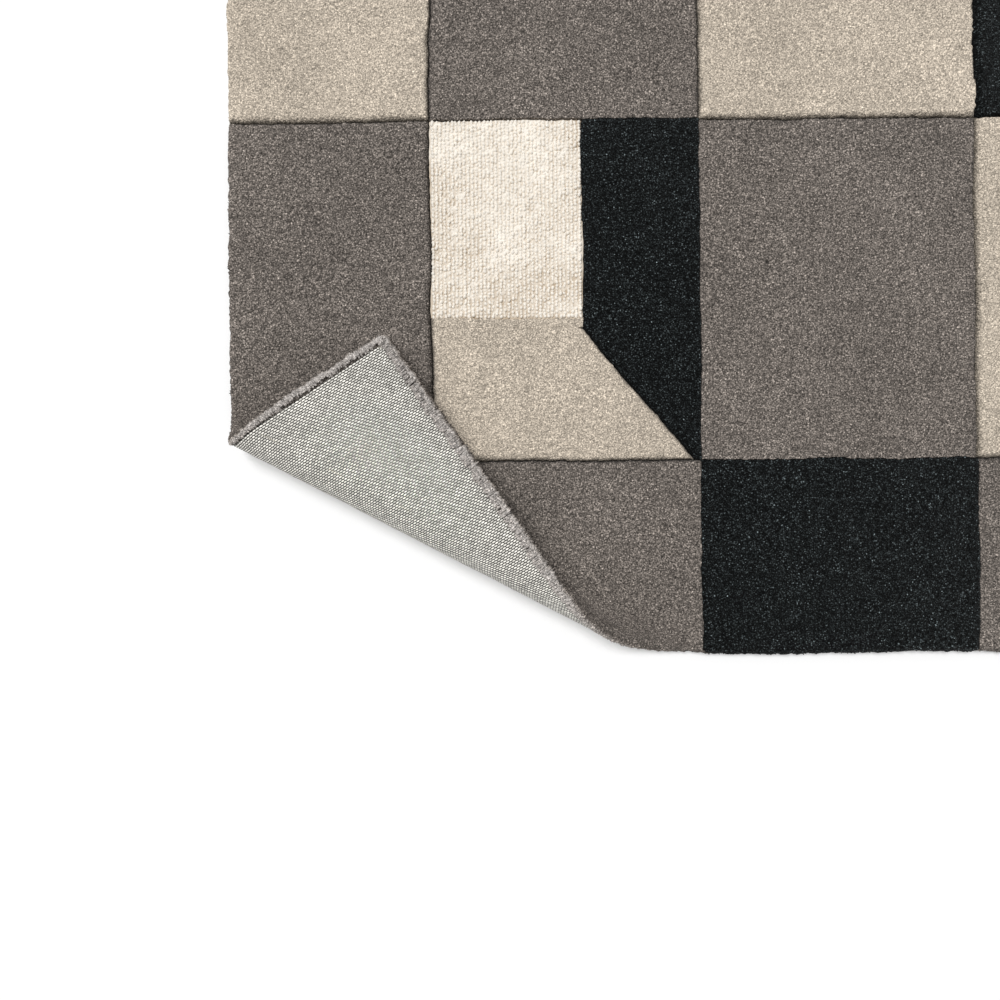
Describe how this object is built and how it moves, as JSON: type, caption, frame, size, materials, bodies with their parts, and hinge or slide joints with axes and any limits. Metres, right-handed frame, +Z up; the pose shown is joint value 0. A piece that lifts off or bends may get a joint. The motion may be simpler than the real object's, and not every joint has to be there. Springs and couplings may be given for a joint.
{
  "type": "area rug",
  "caption": "Flat rectangular tufted area rug with a geometric block pattern and one corner turned over to show its woven back.",
  "frame": {"origin": "on the floor under the middle of the rug", "axes": "+X along the short sides, +Y along the long sides away from the turned corner, +Z up through the pile"},
  "size_m": [1.4, 2, 0.069],
  "materials": {
    "taupe_pile": "cut wool pile, matt",
    "black_pile": "cut wool pile, matt",
    "beige_pile": "cut wool pile, matt",
    "cream_loop_pile": "looped wool pile, matt",
    "backing_cloth": "coarse plain woven cotton, off-white over grey",
    "tufting_cloth": "plain woven cotton",
    "latex": "brushed-on, matt"
  },
  "bodies": {
    "field": {"field_backing_cloth": "backing_cloth", "field_hem_back": "tufting_cloth", "field_hem_front": "tufting_cloth", "field_hem_left": "tufting_cloth", "field_hem_right": "tufting_cloth", "field_latex_coat": "latex", "field_tufting_cloth": "tufting_cloth", "pile_beside_border_1": "beige_pile", "pile_beside_border_2": "beige_pile", "pile_beside_motif_1": "taupe_pile", "pile_beside_motif_2": "taupe_pile", "pile_centre_1": "beige_pile", "pile_centre_2": "black_pile", "pile_inner_left_1": "taupe_pile", "pile_inner_left_2": "taupe_pile", "pile_inner_right_1": "black_pile", "pile_inner_right_2": "black_pile", "pile_left_border_1": "taupe_pile", "pile_left_border_2": "taupe_pile", "pile_left_end_1": "taupe_pile", "pile_left_end_2": "taupe_pile", "pile_middle_end_1": "black_pile", "pile_middle_end_2": "black_pile", "pile_motif_loop_cream_1": "cream_loop_pile", "pile_motif_loop_cream_2": "cream_loop_pile", "pile_motif_wedge_beige_1": "beige_pile", "pile_motif_wedge_beige_2": "beige_pile", "pile_motif_wedge_black_1": "black_pile", "pile_motif_wedge_black_2": "black_pile", "pile_right_border_1": "black_pile", "pile_right_border_2": "black_pile", "pile_right_end_1": "taupe_pile", "pile_right_end_2": "taupe_pile", "pile_side_middle_1": "beige_pile", "pile_side_middle_2": "beige_pile"},
    "bend_1": {"bend_1_backing_cloth": "backing_cloth", "bend_1_pile": "taupe_pile", "bend_1_tufting_cloth": "tufting_cloth"},
    "bend_2": {"bend_2_backing_cloth": "backing_cloth", "bend_2_pile": "taupe_pile", "bend_2_tufting_cloth": "tufting_cloth"},
    "bend_3": {"bend_3_backing_cloth": "backing_cloth", "bend_3_pile": "taupe_pile", "bend_3_tufting_cloth": "tufting_cloth"},
    "bend_4": {"bend_4_backing_cloth": "backing_cloth", "bend_4_pile": "taupe_pile", "bend_4_tufting_cloth": "tufting_cloth"},
    "bend_5": {"bend_5_backing_cloth": "backing_cloth", "bend_5_pile": "taupe_pile", "bend_5_tufting_cloth": "tufting_cloth"},
    "flap": {"flap_backing_cloth": "backing_cloth", "flap_hem_front": "tufting_cloth", "flap_hem_left": "tufting_cloth", "flap_latex_coat": "latex", "flap_pile_border": "taupe_pile", "flap_pile_end": "taupe_pile", "flap_tufting_cloth": "tufting_cloth"}
  },
  "joints": [
    {"name": "corner_fold_1", "type": "hinge", "parent": "field", "child": "bend_1", "pos_m": [-0.58537, -0.78167, 0], "axis": [0.8854, -0.4648, 0], "range_deg": [0, 30.75]},
    {"name": "corner_fold_2", "type": "hinge", "parent": "bend_1", "child": "bend_2", "pos_m": [-0.59289, -0.79598, 0.00962], "axis": [0.8854, -0.4648, 0], "range_deg": [0, 30.75]},
    {"name": "corner_fold_3", "type": "hinge", "parent": "bend_2", "child": "bend_3", "pos_m": [-0.59706, -0.80392, 0.02615], "axis": [0.8854, -0.4648, 0], "range_deg": [0, 30.75]},
    {"name": "corner_fold_4", "type": "hinge", "parent": "bend_3", "child": "bend_4", "pos_m": [-0.59671, -0.80327, 0.04494], "axis": [0.8854, -0.4648, 0], "range_deg": [0, 30.75]},
    {"name": "corner_fold_5", "type": "hinge", "parent": "bend_4", "child": "bend_5", "pos_m": [-0.59195, -0.7942, 0.06071], "axis": [0.8854, -0.4648, 0], "range_deg": [0, 30.75]},
    {"name": "corner_fold_6", "type": "hinge", "parent": "bend_5", "child": "flap", "pos_m": [-0.58411, -0.77926, 0.06903], "axis": [0.8854, -0.4648, 0], "range_deg": [0, 30.75]}
  ],
  "couplings": [
    {"joint": "corner_fold_2", "follows": "corner_fold_1", "ratio": 1},
    {"joint": "corner_fold_3", "follows": "corner_fold_1", "ratio": 1},
    {"joint": "corner_fold_4", "follows": "corner_fold_1", "ratio": 1},
    {"joint": "corner_fold_5", "follows": "corner_fold_1", "ratio": 1},
    {"joint": "corner_fold_6", "follows": "corner_fold_1", "ratio": 1}
  ]
}
